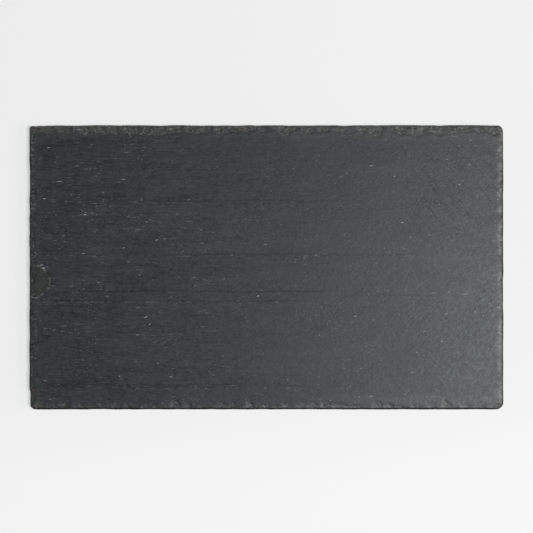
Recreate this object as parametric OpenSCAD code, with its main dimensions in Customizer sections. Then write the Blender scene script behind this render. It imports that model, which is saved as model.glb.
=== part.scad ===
// Slate serving board: one hand-dressed slab of roofing slate on four stick-on rubber feet.
// The origin is on the table under the board's centre. +X runs along the length,
// +Y to the rear, which is the top of the board as it is looked down on, and +Z up.
// Lengths are in millimetres.

/* [Slab] */
// Length of the board, left to right
board_l = 400; // [320:5:500]
// Width of the board, front to rear
board_w = 240; // [190:5:300]
// Thickness of the slate
slab_t = 6; // [5:0.5:8]

/* [Corners] */
// Radius of the front right corner
front_right_r = 5; // [2:0.5:8]
// Radius of the rear right corner
rear_right_r = 5; // [2:0.5:8]
// Radius of the rear left corner, which was left almost sharp
rear_left_r = 1.5; // [1:0.5:8]
// Radius of the front left corner
front_left_r = 4.5; // [2:0.5:8]
// How far the left side draws in where it meets the front left corner
left_draw_in = 1.1; // [0:0.1:2]

/* [Dressed edge] */
// Distance between two large spalls along the edge
large_spall_pitch = 13; // [10:0.5:18]
// Distance between two small spalls along the edge
small_spall_pitch = 7; // [5:0.5:9]
// Farthest that a spall reaches in from the rim
spall_reach = 8.5; // [6:0.5:9]
// Deepest that a spall cuts down at the rim
spall_depth = 4.2; // [2.5:0.1:4.5]
// Deepest nick in the outline of the rear and left sides
rough_nick = 0.8; // [0:0.1:1.5]
// Deepest nick in the outline of the front and right sides, which were cut cleanly
clean_nick = 0.2; // [0:0.1:0.5]

/* [Flake scar] */
// Radius of the scar on the left edge, where one thin layer has split away
scar_r = 16; // [8:0.5:20]
// Depth of the scar
scar_depth = 0.5; // [0.2:0.1:1]

/* [Feet] */
// Diameter of a foot where it meets the slate
foot_d = 12; // [9:0.5:16]
// Height of a foot
foot_h = 2.2; // [1.8:0.1:3]
// Distance from a foot's centre to the two nearest sides
foot_inset = 28; // [20:1:45]
// Thickness of the adhesive disc between a foot and the slate
adhesive_t = 0.2; // [0.1:0.05:0.5]

/* [Hidden] */
$fn = 64;

slate_grey = "#42464a";
rubber_black = "#1c1c1d";
adhesive_white = "#d6d2c6";

// Heights of the joints in the stack, from the table up
foot_top_z = foot_h;
slab_base_z = foot_top_z + adhesive_t;

// The foot narrows from its glued face to its tread, with a rounded edge between them
foot_draft = 0.4;
foot_round_r = 1.1;
foot_round_steps = 6;
// The adhesive disc is cut a little smaller than the foot
adhesive_margin = 0.4;

// The four sides, in turn: front, right, rear and left. Each has the direction in which it is
// walked, its outward direction, half its own length and its distance from the centre.
SIDES = [
    [[1, 0], [0, -1], board_l / 2, board_w / 2],
    [[0, 1], [1, 0], board_w / 2, board_l / 2],
    [[-1, 0], [0, 1], board_l / 2, board_w / 2],
    [[0, -1], [-1, 0], board_w / 2, board_l / 2]
];
// The radius of the corner that each side ends in
CORNERS = [front_right_r, rear_right_r, rear_left_r, front_left_r];
// The deepest nick in each side
NICKS = [clean_nick, clean_nick, rough_nick, rough_nick];

// Spacing of the mesh along the edge, and the rings of it, as distances in from the rim
station_step = 3.2;
corner_steps = 3;
RINGS = [0, 1.2, 2.7, 4.4, 6.4, 8.6];
last_ring = 10.5;
least_corner_r = 0.4;
// The raw slab stands this far past both faces before they are cut flat
face_margin = 1;

// The left side draws in over this length beside the front left corner
draw_in_length = 22;
// Every stretch of this length along a side gets a nick depth of its own
nick_pitch = 9;
// This share of the stretches has no nick
unnicked_share = 0.4;

// A worn bevel runs between the spalls: its depth at the rim, and its reach
bevel_depth = 2;
bevel_reach = 3.6;
// The flat of a spall is at its rim, and its steepest part is at its inner end
spall_curve = 1.5;
// Half width of the widest spall
widest_spall = 11;
// The two sizes of spall. Each has its pitch, the range of its half width, the ranges of its
// reach and its depth as shares of the greatest ones, and a seed for its draws.
LARGE = [large_spall_pitch, [6, widest_spall], [0.6, 1], [0.7, 1], 100];
SMALL = [small_spall_pitch, [3, 5.5], [0.35, 0.7], [0.45, 0.8], 50000];
nick_seed = 90000;

// The scar's centre lies this far in from the left side, and this far to the rear
scar_inset = 3.4;
scar_y = -15.4;

// A fixed number from 0 to 1 for each whole number: the last digits of a large sine
function lot(n) = let (x = sin(n * 78.233 + 12.9898) * 43758.5453) x - floor(x);
function between(range, n) = range[0] + (range[1] - range[0]) * lot(n);

// Spalls of one size along side k, each as [centre x, centre y, half width, reach, depth, k].
// Each has its own stretch of the side, and its centre lies anywhere in the middle of that.
function spalls(k, size) =
    let (
        side = SIDES[k],
        count = round(2 * side[2] / size[0]),
        stretch = 2 * side[2] / count
    )
    [for (i = [0:count - 1])
        let (
            n = size[4] + 1000 * k + 10 * i,
            along = -side[2] + stretch * (i + between([0.15, 0.85], n)),
            centre = side[0] * along + side[1] * side[3]
        )
        [centre[0], centre[1],
         between(size[1], n + 1),
         spall_reach * between(size[2], n + 2),
         spall_depth * between(size[3], n + 3), k]
    ];
SPALLS = [for (k = [0:3]) concat(spalls(k, LARGE), spalls(k, SMALL))];

// Depth that one spall cuts at a point. It is below zero outside the spall.
function spall_cut(p, spall) =
    let (
        side = SIDES[spall[5]],
        off = p - [spall[0], spall[1]],
        u = off * side[0] / spall[2],
        v = off * side[1] / spall[3]
    )
    spall[4] * (1 - pow(u * u + v * v, spall_curve / 2));

// Depth of the worn bevel at a distance in from the rim
function bevel_cut(inset) = bevel_depth * (1 - inset / bevel_reach);

// Distance from a point to the nearest straight side
function inset_of(p) = min(board_l / 2 - abs(p[0]), board_w / 2 - abs(p[1]));

// Height of the dressed edge at a point, above the underside. A spall can reach it only from
// the point's own side, or from the sides that meet it at a corner near by.
function edge_height(p) =
    let (
        near = max(spall_reach, widest_spall),
        close = [for (k = [0:3]) if (SIDES[k][3] - p * SIDES[k][1] < near)
                 for (s = SPALLS[k]) if (norm(p - [s[0], s[1]]) < near) spall_cut(p, s)],
        cut = max(concat([bevel_cut(inset_of(p))], close))
    )
    slab_t - cut;

// Depth of the nicks in side k, at a distance along it from its middle
function nick(k, along) =
    let (
        at = (along + SIDES[k][2]) / nick_pitch,
        cell = floor(at),
        part = (1 - cos(180 * (at - cell))) / 2,
        n = nick_seed + 1000 * k + cell,
        level = lot(n) * (1 - part) + lot(n + 1) * part
    )
    NICKS[k] * max(0, level - unnicked_share) / (1 - unnicked_share);

// How far the end of the left side is drawn in
function draw_in(k, along) = k != 3 ? 0
    : left_draw_in * pow(max(0, 1 - (SIDES[k][2] - along) / draw_in_length), 2);

// One ring of the mesh, at a distance in from the rim. Nicks fade out on the inner rings.
function ring(inset) = [for (k = [0:3])
    let (
        side = SIDES[k],
        fade = 1 - inset / last_ring,
        from_r = max(CORNERS[(k + 3) % 4] - inset, least_corner_r),
        to_r = max(CORNERS[k] - inset, least_corner_r),
        start = -side[2] + inset + from_r,
        end = side[2] - inset - to_r,
        count = round(2 * side[2] / station_step),
        pivot = side[0] * end + side[1] * (side[3] - inset - to_r)
    )
    each concat(
        [for (i = [0:count])
            let (along = start + (end - start) * i / count)
            side[0] * along
                + side[1] * (side[3] - inset - fade * (nick(k, along) + draw_in(k, along)))],
        [for (j = [1:corner_steps])
            let (
                turn = 90 * j / (corner_steps + 1),
                drawn = fade * draw_in(k, side[2]) * cos(turn)
            )
            pivot + to_r * (side[1] * cos(turn) + side[0] * sin(turn)) - side[1] * drawn]
    )
];

// Two triangles between the stations i and j of a ring and the ring above it
function band(lower, upper, i, j) =
    [[lower + i, upper + i, upper + j], [lower + i, upper + j, lower + j]];

// The slab before its faces are cut: a vertical rim, then the spalls, then flat caps
module raw_slab() {
    levels = [for (inset = RINGS) ring(inset)];
    count = len(levels[0]);
    rim = [for (p = levels[0]) [p[0], p[1], -face_margin]];
    edge = [for (level = levels) each [for (p = level) [p[0], p[1], edge_height(p)]]];
    inner = [for (p = ring(last_ring)) [p[0], p[1], slab_t + face_margin]];
    rows = len(levels) + 2;
    centres = [[0, 0, -face_margin], [0, 0, slab_t + face_margin]];
    walls = [for (row = [0:rows - 2]) for (i = [0:count - 1])
        each band(row * count, (row + 1) * count, i, (i + 1) % count)];
    caps = [for (i = [0:count - 1]) let (j = (i + 1) % count)
        each [[rows * count, i, j],
              [rows * count + 1, (rows - 1) * count + j, (rows - 1) * count + i]]];
    polyhedron(points = concat(rim, edge, inner, centres), faces = concat(walls, caps),
               convexity = 4);
}

// The slab has two flat cleft faces, the dressed edge all round, and the scar on its left
module slate_slab() {
    color(slate_grey)
    translate([0, 0, slab_base_z])
    difference() {
        intersection() {
            raw_slab();
            translate([-board_l, -board_w, 0])
            cube([2 * board_l, 2 * board_w, slab_t]);
        }
        translate([scar_inset - board_l / 2, scar_y, slab_t - scar_depth])
        cylinder(r = scar_r, h = 2 * scar_depth);
    }
}

// Centre of the foot on the side given by two signs, left or right and front or rear
function foot_at(sx, sy) = [sx * (board_l / 2 - foot_inset), sy * (board_w / 2 - foot_inset)];

// Rubber foot, with its flat tread on the table and its wider glued face up
module foot(sx, sy) {
    tread_r = foot_d / 2 - foot_draft - foot_round_r;
    rounded = [for (i = [0:foot_round_steps]) let (turn = 90 * i / foot_round_steps)
        [tread_r + foot_round_r * sin(turn), foot_round_r * (1 - cos(turn))]];
    color(rubber_black)
    translate(foot_at(sx, sy))
    rotate_extrude()
    polygon(concat([[0, 0]], rounded, [[foot_d / 2, foot_top_z], [0, foot_top_z]]));
}

// Thin adhesive disc that holds a foot to the slate
module adhesive(sx, sy) {
    color(adhesive_white)
    translate([foot_at(sx, sy)[0], foot_at(sx, sy)[1], foot_top_z])
    cylinder(r = foot_d / 2 - adhesive_margin, h = adhesive_t);
}

slate_slab();
foot(-1, -1);  // foot_front_left
foot(1, -1);  // foot_front_right
foot(-1, 1);  // foot_rear_left
foot(1, 1);  // foot_rear_right
adhesive(-1, -1);  // adhesive_front_left
adhesive(1, -1);  // adhesive_front_right
adhesive(-1, 1);  // adhesive_rear_left
adhesive(1, 1);  // adhesive_rear_right
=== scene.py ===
# %% [markdown]
# # A slate serving board
#
# This notebook dresses a serving board that is already constructed: a slab of natural slate on
# four rubber feet. The construction is loaded first and never moves. The steps after it make the
# split stone, its hand-dressed edge and the small marks on it, and then every finish.
# Sizes are written in millimetres, and turned to Blender's metres where a mesh is made.

# %% Load the constructed board
import math
from types import SimpleNamespace

import bpy
import numpy as np
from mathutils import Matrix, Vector
from mathutils.bvhtree import BVHTree


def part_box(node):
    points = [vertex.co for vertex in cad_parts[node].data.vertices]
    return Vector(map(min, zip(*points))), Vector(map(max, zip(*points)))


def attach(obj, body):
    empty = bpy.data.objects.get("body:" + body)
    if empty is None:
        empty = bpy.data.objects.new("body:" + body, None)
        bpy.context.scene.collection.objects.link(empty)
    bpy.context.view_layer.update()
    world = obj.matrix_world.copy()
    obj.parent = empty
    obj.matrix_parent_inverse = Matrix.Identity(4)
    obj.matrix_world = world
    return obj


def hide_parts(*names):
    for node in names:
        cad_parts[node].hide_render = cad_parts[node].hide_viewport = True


MM = 0.001
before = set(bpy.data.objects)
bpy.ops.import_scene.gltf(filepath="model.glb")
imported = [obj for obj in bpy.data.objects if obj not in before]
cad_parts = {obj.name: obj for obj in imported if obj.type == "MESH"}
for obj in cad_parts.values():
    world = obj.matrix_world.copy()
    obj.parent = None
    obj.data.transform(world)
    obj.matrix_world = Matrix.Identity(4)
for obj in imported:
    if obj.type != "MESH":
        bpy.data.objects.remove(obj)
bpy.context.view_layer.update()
slab_low, slab_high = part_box("slate_slab")
BOARD_L = (slab_high.x - slab_low.x) / MM
BOARD_W = (slab_high.y - slab_low.y) / MM
SLAB_T = (slab_high.z - slab_low.z) / MM
BASE_Z = slab_low.z / MM
FACE_Z = slab_high.z / MM
print(f"slab {BOARD_L:.0f} x {BOARD_W:.0f} x {SLAB_T:.1f} mm, {BASE_Z:.1f} mm off the table")

# %% [markdown]
# ## The camera
#
# The board is photographed from straight above. The picture is 533 pixels square, and the board
# spans 473.8 of them, which fixes how much of the floor the picture covers. The outline that is
# seen is the rim's, a little lower than the face. A long lens from further away, rather than a
# wide one close by, keeps the four sides as square as they are.

# %% Place the camera
# In pixels: the picture's side, the board's length, and the board's middle from the top left
PICTURE_PX = 533
BOARD_PX = 473.8
BOARD_CENTRE_PX = (266.35, 267.35)
LENS_MM = 85
SENSOR_MM = 36
# How far under the face the stone is widest, which is what the picture's outline shows
RIM_BELOW_FACE = 3.0

mm_per_px = BOARD_L / BOARD_PX
covered = PICTURE_PX * mm_per_px * MM
aim_x = (PICTURE_PX / 2 - BOARD_CENTRE_PX[0]) * mm_per_px * MM
aim_y = (BOARD_CENTRE_PX[1] - PICTURE_PX / 2) * mm_per_px * MM
camera = bpy.data.objects.new("camera", bpy.data.cameras.new("camera"))
camera.data.lens = LENS_MM
camera.data.sensor_width = SENSOR_MM
camera.location = (aim_x, aim_y,
                   slab_high.z - RIM_BELOW_FACE * MM + covered * LENS_MM / SENSOR_MM)
bpy.context.scene.collection.objects.link(camera)
bpy.context.scene.camera = camera
print(f"the picture covers {covered / MM:.0f} mm, from {camera.location.z:.2f} m up")


def to_board(px, py):
    """A point of the picture, as millimetres from the middle of the board."""
    return (px - BOARD_CENTRE_PX[0]) * mm_per_px, (BOARD_CENTRE_PX[1] - py) * mm_per_px


# %% [markdown]
# ## One way to write a material
#
# A material and a Geometry Nodes tree are both graphs of nodes, and wiring them by hand takes
# many lines. One small function adds any node, sets its own settings, and fills its inputs: a
# plain value is set, and another node or socket is linked. The nodes that are used most have a
# short name. Colours are written as the hex values that a colour picker shows, and turned to
# the linear values that Blender mixes.

# %% Add a node
# A smooth step takes a value, where the step starts and ends, and what it gives there, or else
# 0 and 1. It may also run downwards. A blend mixes two colours.
SHORT_NAMES = {"ease": ("ShaderNodeMapRange", {"interpolation_type": "SMOOTHSTEP"}),
               "blend": ("ShaderNodeMix", {"data_type": "RGBA"})}
# A sum on numbers goes by the name that a Math node gives it
for sum_name in ("ADD", "SUBTRACT", "MULTIPLY", "DIVIDE", "MULTIPLY_ADD", "POWER", "FLOOR",
                 "ABSOLUTE", "MAXIMUM", "MINIMUM"):
    SHORT_NAMES[sum_name] = ("ShaderNodeMath", {"operation": sum_name})


def put(tree, kind, *inputs, **settings):
    """Add a node. Its inputs are values in order, or one dict that says which sockets to fill."""
    kind, usual = SHORT_NAMES.get(kind, (kind, {}))
    node = tree.nodes.new(kind)
    for name, value in {**usual, **settings}.items():
        setattr(node, name, value)
    listed = inputs[0] if inputs and isinstance(inputs[0], dict) else dict(enumerate(inputs))
    for name, value in listed.items():
        if isinstance(value, bpy.types.Node):
            value = next(s for s in value.outputs if s.enabled)
        if isinstance(value, bpy.types.NodeSocket):
            tree.links.new(value, node.inputs[name])
        else:
            node.inputs[name].default_value = value
    return node


def chain(tree, operation, *values):
    """All the values put through one operation, such as ADD, MULTIPLY or MAXIMUM."""
    result = values[0]
    for value in values[1:]:
        result = put(tree, operation, result, value)
    return result


# %% Colours, places and cloudy patterns
# How far one seed's pattern lies from the next, so that no two look alike
SEED_STEPS = (17.3, 5.9, 11.7)
GRAIN_ROUGHNESS = 0.55


def colour(code):
    """A hex colour such as 33373a as linear red, green, blue and alpha."""
    channels = [int(code[i:i + 2], 16) / 255 for i in (0, 2, 4)]
    return (*[c / 12.92 if c <= 0.04045 else ((c + 0.055) / 1.055) ** 2.4 for c in channels], 1)


def new_material(name):
    """An empty material, and its tree."""
    material = bpy.data.materials.new(name)
    material.use_nodes = True
    material.node_tree.nodes.clear()
    return material, material.node_tree


def in_mm(tree, place):
    """A place in millimetres, from one in metres."""
    return put(tree, "ShaderNodeVectorMath", {0: place, "Scale": 1 / MM}, operation="SCALE")


def position_mm(tree):
    """Where a point lies on the finished board, in millimetres, in a material's tree."""
    return in_mm(tree, put(tree, "ShaderNodeTexCoord").outputs["Object"])


def grain(tree, mm, size, detail=2.0, seed=0.0):
    """A cloudy pattern, mostly from -0.6 to 0.6. Its patches are size = (x, y, z) mm."""
    placed = put(tree, "ShaderNodeVectorMath", mm, [1 / length for length in size],
                 [step * seed for step in SEED_STEPS], operation="MULTIPLY_ADD")
    return put(tree, "ShaderNodeTexNoise", {"Vector": placed, "Scale": 1.0, "Detail": detail,
               "Roughness": GRAIN_ROUGHNESS}, normalize=False).outputs[0]


# %% [markdown]
# ## The light and the floor
#
# The board's own sheen runs from almost none on the left to a soft grey on the right. That
# comes from one large soft light, high on the right, whose blurred reflection the stone
# carries. A second, low light on the right is only caught by the chips that face it, and draws
# the right edge as a pale line. A dim ceiling and pale walls fill the rest. The floor is a pale
# sweep. To the camera it partly glows by itself, so that it stays even, and the rest is lit
# paint, which keeps the board's soft shadow.

# %% Light the studio
# Each light: its place in metres, its width and height, its watts and its colour
SOFTBOXES = {
    "high_softbox": ((1.90, -0.52, 3.90), (1.10, 1.50), 154.0, "f6feff"),
    "low_side_light": ((2.95, -0.45, 1.80), (2.00, 0.85), 29.0, "ffefe8"),
}
# How bright the ceiling and the walls are, and how steeply up one looks where they meet
CEILING = 0.03
WALLS = 0.45
WALL_TOPS = (0.12, 0.45)

for name, (place, size, watts, tint) in SOFTBOXES.items():
    light = bpy.data.lights.new(name, "AREA")
    light.shape = "RECTANGLE"
    light.size, light.size_y = size
    light.energy = watts
    light.color = colour(tint)[:3]
    lamp = bpy.data.objects.new(name, light)
    lamp.location = place
    lamp.rotation_euler = (-Vector(place)).to_track_quat("-Z", "Y").to_euler()
    bpy.context.scene.collection.objects.link(lamp)

world = bpy.data.worlds.new("studio")
bpy.context.scene.world = world
world.use_nodes = True
sky = world.node_tree
sky.nodes.clear()
looking = put(sky, "ShaderNodeTexCoord").outputs["Generated"]
upwards = put(sky, "ShaderNodeSeparateXYZ", looking).outputs["Z"]
room = put(sky, "ease", upwards, *WALL_TOPS, WALLS, CEILING)
put(sky, "ShaderNodeOutputWorld",
    {"Surface": put(sky, "ShaderNodeBackground", {"Color": room, "Strength": 1.0})})

# %% Lay the floor
FLOOR_SIZE = 30.0
# How much the floor glows by itself beside the board and in front of it, and from where to
# where it changes, to the rear of the board's middle
FLOOR_GLOWS = (0.565, 0.607)
GLOW_CHANGES = (-60, -200)


def make_floor():
    """A pale floor that looks even to the camera and keeps the board's shadow."""
    material, tree = new_material("pale_studio_floor")
    seen = put(tree, "ShaderNodeLightPath")
    shown = put(tree, "MAXIMUM", seen.outputs["Is Camera Ray"], seen.outputs["Is Glossy Ray"])
    to_rear = put(tree, "ShaderNodeSeparateXYZ", position_mm(tree)).outputs["Y"]
    strength = put(tree, "ease", to_rear, *GLOW_CHANGES, *FLOOR_GLOWS)
    glow = put(tree, "ShaderNodeEmission", {"Color": colour("ffffff"), "Strength": strength})
    lit = put(tree, "ShaderNodeBsdfDiffuse", {"Color": colour("a29f9f")})
    plain = put(tree, "ShaderNodeBsdfDiffuse", {"Color": colour("efefee")})
    both = put(tree, "ShaderNodeAddShader", glow, lit)
    mixed = put(tree, "ShaderNodeMixShader", shown, plain, both)
    put(tree, "ShaderNodeOutputMaterial", {"Surface": mixed})
    half = FLOOR_SIZE / 2
    mesh = bpy.data.meshes.new("studio_floor")
    mesh.from_pydata([(-half, -half, 0), (half, -half, 0), (half, half, 0), (-half, half, 0)],
                     [], [(0, 1, 2, 3)])
    mesh.materials.append(material)
    floor = bpy.data.objects.new("studio_floor", mesh)
    bpy.context.scene.collection.objects.link(floor)
    return floor


make_floor()

# %% [markdown]
# ## Ledges in the cleavage
#
# Slate splits along flat layers. Where one layer ends, its edge stays as a thin ledge that runs
# along the board, partly a real step and partly shade painted at its foot, and bruised pale
# along its lip. The same ledges are needed twice: to move the stone's surface, and to tint it
# with painted shade. Math nodes work in a Geometry Nodes tree and in a material alike, so one
# function writes them into either, and the two always agree.

# %% Where the ledges run
# Each ledge: how far to the rear of the middle, from where to where along the board, its drop,
# and how dark the shade painted at its foot is
LEDGES = [
    (108.0, -178, -50, 0.06, 0.12),
    (63.0, -200, -140, 0.05, 0.10),
    (55.9, -200, 72, 0.06, 0.09),
    (10.5, -200, 146, 0.06, 0.06),
    (-20.4, -178, 56, 0.11, 0.30),
    (-23.8, 44, 160, 0.06, 0.05),
    (-28.6, -200, 34, 0.10, 0.17),
    (-50.0, -166, -100, 0.07, 0.10),
    (-99.2, -200, 10, 0.08, 0.38),
    (-101.0, -200, 96, 0.05, 0.24),
]
# The ledges wander about this far from a straight line, in waves of this size
WANDER = 0.9
WANDER_SIZE = (60, 40, 60)
# A step is this wide, and the surface climbs back over this distance behind it
STEP_WIDTH = 0.7
CLIMB_BACK = 16
# A ledge fades in and out over this length
LEDGE_FADE = 30
# Contour-like edges of the thinnest layers, finer than the ledges: their size and their count
LAYER_SIZE = (95, 20, 900)
LAYER_COUNT = 4.5
# The numbers that the patterns of the face and of the underside are drawn from
FACE_SEED = 100
UNDER_SEED = 200


def wandering(tree, mm):
    """x, and y with the cleavage's own waves taken out, so that a ledge is a straight line."""
    parts = put(tree, "ShaderNodeSeparateXYZ", mm)
    wave = grain(tree, mm, WANDER_SIZE, detail=4, seed=3)
    return parts.outputs["X"], put(tree, "MULTIPLY_ADD", wave, WANDER, parts.outputs["Y"])


def streakiness(tree, along):
    """The grain runs in streaks on the left, and is rubbed even towards the right."""
    return put(tree, "ease", along, -130, 140, 1.0, 0.15)


def ledge(tree, along, across, y, start, end):
    """How far a point lies behind a ledge, and how much of the ledge there is beside it."""
    behind = put(tree, "SUBTRACT", across, y)
    half = (end - start) / 2
    off = put(tree, "ABSOLUTE", put(tree, "SUBTRACT", along, start + half))
    return behind, put(tree, "ease", off, half - LEDGE_FADE, half, 1.0, 0.0)


def thin_layers(tree, mm, seed):
    """The number of the thin layer that lies open at a point, and how far through it we are."""
    level = put(tree, "MULTIPLY", grain(tree, mm, LAYER_SIZE, 4, seed + 2), LAYER_COUNT)
    number = put(tree, "FLOOR", level)
    return number, put(tree, "SUBTRACT", level, number)


# %% [markdown]
# ## The finish of the slate
#
# The real stone is a fine grey mudstone, split and not polished, then wiped with mineral oil,
# which gives it the oil's low refractive index. It is a cool dark grey with a soft sheen,
# marked by its layers along the board. The colour could be painted on the mesh, but the
# stone's patterns are far finer than any mesh, so it is built from cloudy patterns of real
# sizes, stretched along the grain. One function makes each kind of mark: the split face, its
# ledges, the rubbing, the small chips, the broken edge, the scar, the stains, the wear, and
# the light and shade that are painted at the edge and at the ledges.

# %% Helpers for mixing


def near(tree, value, middle, outer, inner):
    """A soft band: 1 where value is within inner of the middle, and 0 beyond outer."""
    off = put(tree, "ABSOLUTE", put(tree, "SUBTRACT", value, middle))
    return put(tree, "ease", off, outer, inner)


def layered(tree, mm, patterns, seed, start):
    """Cloudy patterns added to a starting value. Each has a size, a detail and a strength."""
    for n, (size, detail, strength) in enumerate(patterns, seed):
        start = put(tree, "MULTIPLY_ADD", grain(tree, mm, size, detail, n), strength, start)
    return start


def places(tree):
    """The measures of where a point lies on the stone that the finish goes by."""
    mm = position_mm(tree)
    along, across = wandering(tree, mm)
    return SimpleNamespace(
        mm=mm, along=along, across=across, streaky=streakiness(tree, along),
        to_rear=put(tree, "ShaderNodeSeparateXYZ", mm).outputs["Y"],
        cut=put(tree, "ShaderNodeAttribute", attribute_name="chip_depth").outputs["Fac"],
        inwards=put(tree, "ShaderNodeAttribute", attribute_name="rim_distance").outputs["Fac"])


# %% [markdown]
# ## Tone of the split face
#
# A split face is never one grey. Broad clouds and fine grit vary it everywhere, and streaks
# follow the grain on the left, where nothing has rubbed it. A thin layer's edge shows as a
# hairline, and where a sliver has lifted, its shadow is painted as a dark slit. At a ledge,
# shade is painted dark at its foot, with a soft painted shade behind it, and its lip is
# bruised pale here and there. The dark marks all go into one number that the stone's colour
# is multiplied by, so that they keep the stone's own hue.

# %% Tone of the split face
# Each pattern: the size of its patches in mm, its detail, and how much it lightens and darkens
CLOUDS = [((80, 26, 20), 3, 0.09), ((20, 15, 12), 2, 0.08), ((3.4, 3.0, 2), 2, 0.13),
          ((2.7, 2.4, 1.6), 2, 0.15)]
STREAKS = [((60, 8, 20), 2, 0.10), ((30, 2.6, 6), 4, 0.24), ((9, 1.2, 2), 2, 0.38)]
HAIRLINE_STRENGTH = 1.1
SLIVER_SHADOW_DARKENS = -0.90


def split_tone(tree, at):
    """The face's clouds, streaks, hairlines and painted sliver shadows, round a mean of 1."""
    clouds = layered(tree, at.mm, CLOUDS, 0, 1.0)
    streaks = put(tree, "MULTIPLY", layered(tree, at.mm, STREAKS, 5, 0.0), at.streaky)
    layer_edge = near(tree, thin_layers(tree, at.mm, FACE_SEED)[1], 0.5, 0.07, 0.0)
    hairlines = chain(tree, "MULTIPLY", layer_edge, grain(tree, at.mm, (9, 3, 6), 3, 22),
                      HAIRLINE_STRENGTH)
    # Painted shadow: short dark dashes where lifted slivers would cast shade, on the streaky left
    sliver_shadows = chain(tree, "MULTIPLY",
                  put(tree, "ease", grain(tree, at.mm, (5.0, 0.9, 1.2), 2, 43), 0.34, 0.62),
                  put(tree, "ease", grain(tree, at.mm, (40, 12, 20), 3, 44), -0.3, 0.4),
                  at.streaky, SLIVER_SHADOW_DARKENS)
    return chain(tree, "ADD", clouds, streaks, hairlines, sliver_shadows)


def ledge_shade_and_lips(tree, at):
    """Painted shade at the ledges' feet, as a change of tone, and where their lips are bruised
    pale.
    """
    breaks = grain(tree, at.mm, (7, 2.5, 4), 3, 21)
    foot_breaks = put(tree, "ease", breaks, -0.3, 0.3, 0.15, 1.3)
    ledge_shade, lips = 0.0, 0.0
    for y, start, end, _, darkness in LEDGES:
        behind, present = ledge(tree, at.along, at.across, y, start, end)
        # Painted shade: a dark line at the ledge's foot, and a soft painted shade behind it
        foot = put(tree, "MULTIPLY", near(tree, behind, 0.3, 1.5, 0.2), foot_breaks)
        shade = put(tree, "MULTIPLY", put(tree, "ease", behind, 13, 0.5, 0.0, 0.15),
                    put(tree, "ease", behind, -0.4, 0.2))
        dark = put(tree, "MULTIPLY", put(tree, "ADD", foot, shade), present)
        ledge_shade = put(tree, "MULTIPLY_ADD", dark, -darkness, ledge_shade)
        lips = put(tree, "MULTIPLY_ADD", near(tree, behind, -0.8, 0.8, 0.2), present, lips)
    return ledge_shade, put(tree, "MULTIPLY", lips, put(tree, "ease", breaks, 0.22, 0.55))


# %% [markdown]
# ## Rubbing and small chips
#
# The right end is rubbed, as when boards slide over each other in a stack, and shows two fans
# of faint dark lines. One falls towards the front at the rear, and the other rises in front.
# Small pale chips and finer specks lie in clusters on the face. Each comes from a stretched
# cloudy pattern of which only the highest parts are kept, so that they turn out as short
# dashes or dots.

# %% Hatching, chips and specks
# Each hatching: its turn, the pitch of its lines, its strength, and from where to where across
HATCHES = [(-0.72, 2.2, 1.0, 34, 112), (0.85, 1.4, 0.35, -104, -22)]
HATCH_FADE = 14
HATCH_DARKENS = -0.27


def hatching(tree, at):
    """Fine lines rubbed into the right end."""
    bent = put(tree, "ShaderNodeVectorMath", at.mm, grain(tree, at.mm, (26, 26, 26), 2, 29),
               operation="ADD")
    hatch = 0.0
    for turn, pitch, strength, lowest, highest in HATCHES:
        turned = put(tree, "ShaderNodeVectorRotate", {"Vector": bent, "Angle": -turn},
                     rotation_type="Z_AXIS")
        lines = put(tree, "ease", grain(tree, turned, (20, pitch, 30), 1, 30 + turn), 0.12, 0.45)
        where = chain(tree, "MULTIPLY", put(tree, "ease", at.along, 84, 140),
                      put(tree, "ease", at.across, lowest - HATCH_FADE, lowest + HATCH_FADE),
                      put(tree, "ease", at.across, highest + HATCH_FADE, highest - HATCH_FADE),
                      strength)
        hatch = put(tree, "MULTIPLY_ADD", lines, where, hatch)
    return hatch


def chips_and_specks(tree, at):
    """Small pale chips, which thin out to the right, and specks, which thin out to the left."""
    dashes = put(tree, "ease", grain(tree, at.mm, (3.4, 1.0, 1.2), 1, 41), 0.44, 0.78)
    clusters = put(tree, "ease", grain(tree, at.mm, (34, 16, 20), 3, 40), -0.2, 0.45, 0.15, 1.0)
    chips = chain(tree, "MULTIPLY", dashes, clusters,
                  put(tree, "ease", at.along, 70, -150, 0.30, 1.0))
    dots = put(tree, "ease", grain(tree, at.mm, (2.2, 1.7, 1.4), 1, 45), 0.50, 0.80)
    clusters = put(tree, "ease", grain(tree, at.mm, (30, 20, 20), 3, 46), -0.2, 0.5)
    specks = chain(tree, "MULTIPLY", dots, clusters,
                   put(tree, "ease", at.along, -60, 90, 0.25, 1.0))
    return chips, specks


# %% [markdown]
# ## Broken stone
#
# Where the dressing has cut into the stone, it shows the inside of the slate: greener, paler
# and mottled. The mesh carries how deep each point was cut, so the finish follows the real
# chips. The dressing knife's strokes run across each side. The chips are crispest and most
# crumbled at the rear, and worn smooth at the front left corner, where the board is held.
# Towards the right, in front and at the rear, the broken stone is also painted paler, as painted
# sheen.

# %% Where the stone is broken


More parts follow.
